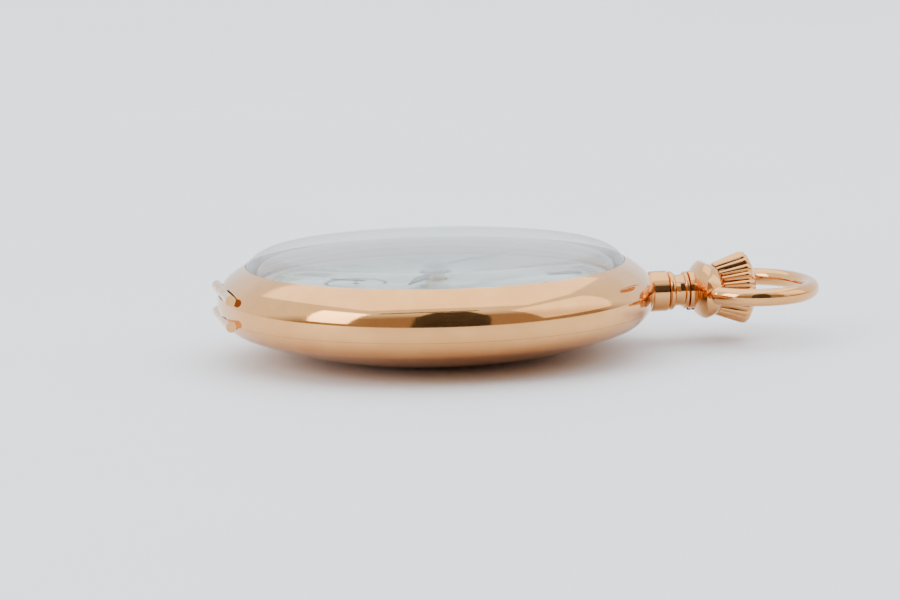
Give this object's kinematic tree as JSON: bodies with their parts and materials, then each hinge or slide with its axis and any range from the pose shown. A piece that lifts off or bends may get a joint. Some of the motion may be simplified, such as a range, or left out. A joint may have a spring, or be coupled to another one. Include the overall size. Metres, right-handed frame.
{
  "type": "pocket watch",
  "caption": "Open-face pocket watch with a hinged glass bezel and back, a fluted crown inside a pendant with a swinging oval bow, and a going train inside.",
  "frame": {"origin": "centre of the small flat on the back cover that the watch lies on", "axes": "+Z out of the dial, +Y towards the pendant at 12 o'clock, +X towards 3 o'clock"},
  "size_m": [0.052, 0.0728, 0.0137],
  "materials": {
    "case_gold": "polished rose gold",
    "cuvette_gold": "polished gilt",
    "crystal_glass": "clear, polished",
    "dial_enamel": "white enamel",
    "hand_steel": "dark polished steel",
    "movement_gilt": "matt gilt",
    "steel": "polished steel",
    "blued_steel": "blued steel",
    "ruby": "polished ruby"
  },
  "bodies": {
    "case": {"mid_case": "case_gold", "pendant": "case_gold", "pendant_tube": "steel", "pendant_set_screw": "blued_steel", "bezel_hinge_pin": "case_gold", "back_hinge_pin": "case_gold", "dial": "dial_enamel", "main_plate": "movement_gilt", "barrel_bridge": "movement_gilt", "train_bridge": "movement_gilt", "escape_bridge": "movement_gilt", "balance_cock": "movement_gilt", "train_jewels": "ruby", "bridge_screws": "blued_steel", "case_screws": "blued_steel", "click_spring": "steel", "click_screw": "blued_steel", "crown_wheel_screw": "blued_steel", "hairspring": "blued_steel"},
    "bezel": {"bezel": "case_gold", "crystal": "crystal_glass"},
    "back": {"back_cover": "case_gold"},
    "cuvette": {"cuvette": "cuvette_gold"},
    "bow": {"bow": "case_gold"},
    "winding_pinion": {"winding_pinion": "steel"},
    "crown": {"crown": "case_gold", "winding_stem": "steel"},
    "crown_wheel": {"crown_wheel": "steel"},
    "ratchet": {"ratchet_wheel": "steel", "ratchet_screw": "blued_steel", "barrel_arbor": "steel"},
    "click": {"click": "steel"},
    "barrel": {"barrel": "movement_gilt", "barrel_lid": "movement_gilt", "mainspring": "blued_steel"},
    "centre": {"centre_pinion": "steel", "centre_wheel": "movement_gilt", "cannon_pinion": "steel", "minute_hand": "hand_steel"},
    "minute_wheel": {"minute_wheel": "movement_gilt"},
    "hour": {"hour_wheel": "movement_gilt", "hour_hand": "hand_steel"},
    "third": {"third_pinion": "steel", "third_wheel": "movement_gilt"},
    "fourth": {"fourth_pinion": "steel", "fourth_wheel": "movement_gilt", "seconds_hand": "hand_steel"},
    "escape": {"escape_pinion": "steel", "escape_wheel": "steel"},
    "pallet": {"pallet_fork": "steel", "pallet_stones": "ruby"},
    "balance": {"balance_wheel": "movement_gilt", "balance_screws": "movement_gilt", "balance_staff": "steel", "roller": "steel"},
    "regulator": {"regulator": "steel"}
  },
  "joints": [
    {"name": "bezel_hinge", "type": "hinge", "parent": "case", "child": "bezel", "pos_m": [0, -0.0254, 0.0084], "axis": [1, 0, 0], "range_deg": [0, 95]},
    {"name": "back_hinge", "type": "hinge", "parent": "case", "child": "back", "pos_m": [0, -0.0254, 0.0053], "axis": [-1, 0, 0], "range_deg": [0, 110]},
    {"name": "cuvette_hinge", "type": "hinge", "parent": "case", "child": "cuvette", "pos_m": [0, -0.0254, 0.0053], "axis": [-1, 0, 0], "range_deg": [0, 83]},
    {"name": "bow_swing", "type": "hinge", "parent": "case", "child": "bow", "pos_m": [0, 0.0333, 0.0062], "axis": [1, 0, 0], "range_deg": [-90, 90]},
    {"name": "winding", "type": "hinge", "parent": "case", "child": "winding_pinion", "pos_m": [0, 0, 0.0062], "axis": [0, 1, 0], "continuous": true},
    {"name": "crown_pull", "type": "slide", "parent": "winding_pinion", "child": "crown", "axis": [0, 1, 0], "range_m": [0, 0.0008]},
    {"name": "crown_wheel_turn", "type": "hinge", "parent": "case", "child": "crown_wheel", "pos_m": [0, 0.01232, 0], "axis": [0, 0, 1], "continuous": true},
    {"name": "ratchet_turn", "type": "hinge", "parent": "case", "child": "ratchet", "pos_m": [0.00518, 0.00622, 0], "axis": [0, 0, 1], "continuous": true},
    {"name": "click_rock", "type": "hinge", "parent": "case", "child": "click", "pos_m": [-0.00177, 0.00369, 0], "axis": [0, 0, 1], "range_deg": [0, 8]},
    {"name": "seconds", "type": "hinge", "parent": "case", "child": "fourth", "pos_m": [0, -0.0096, 0], "axis": [0, 0, -1], "continuous": true},
    {"name": "minutes", "type": "hinge", "parent": "case", "child": "centre", "pos_m": [0, 0, 0], "axis": [0, 0, -1], "continuous": true},
    {"name": "hours", "type": "hinge", "parent": "case", "child": "hour", "pos_m": [0, 0, 0], "axis": [0, 0, -1], "continuous": true},
    {"name": "minute_wheel_turn", "type": "hinge", "parent": "case", "child": "minute_wheel", "pos_m": [-0.00291, 0.00168, 0], "axis": [0, 0, 1], "continuous": true},
    {"name": "barrel_turn", "type": "hinge", "parent": "case", "child": "barrel", "pos_m": [0.00518, 0.00622, 0], "axis": [0, 0, 1], "continuous": true},
    {"name": "third_turn", "type": "hinge", "parent": "case", "child": "third", "pos_m": [-0.00462, -0.00552, 0], "axis": [0, 0, 1], "continuous": true},
    {"name": "escape_turn", "type": "hinge", "parent": "case", "child": "escape", "pos_m": [0.0049, -0.01185, 0], "axis": [0, 0, 1], "continuous": true},
    {"name": "pallet_rock", "type": "hinge", "parent": "case", "child": "pallet", "pos_m": [0.007, -0.00892, 0], "axis": [0, 0, 1], "range_deg": [-5, 5]},
    {"name": "balance_swing", "type": "hinge", "parent": "case", "child": "balance", "pos_m": [0.0098, -0.005, 0], "axis": [0, 0, 1], "range_deg": [-150, 150], "stiffness_Nm_per_rad": 0.000001},
    {"name": "regulator_turn", "type": "hinge", "parent": "case", "child": "regulator", "pos_m": [0.0098, -0.005, 0], "axis": [0, 0, 1], "range_deg": [-15, 15]}
  ],
  "couplings": [
    {"joint": "cuvette_hinge", "follows": "back_hinge", "ratio": 0.75},
    {"joint": "crown_wheel_turn", "follows": "winding", "ratio": 0.66667},
    {"joint": "ratchet_turn", "follows": "winding", "ratio": -0.4},
    {"joint": "minutes", "follows": "seconds", "ratio": 0.016667},
    {"joint": "hours", "follows": "seconds", "ratio": 0.0013889},
    {"joint": "minute_wheel_turn", "follows": "seconds", "ratio": 0.0055556},
    {"joint": "barrel_turn", "follows": "seconds", "ratio": 0.0025641},
    {"joint": "third_turn", "follows": "seconds", "ratio": 0.13333},
    {"joint": "escape_turn", "follows": "seconds", "ratio": 10}
  ]
}
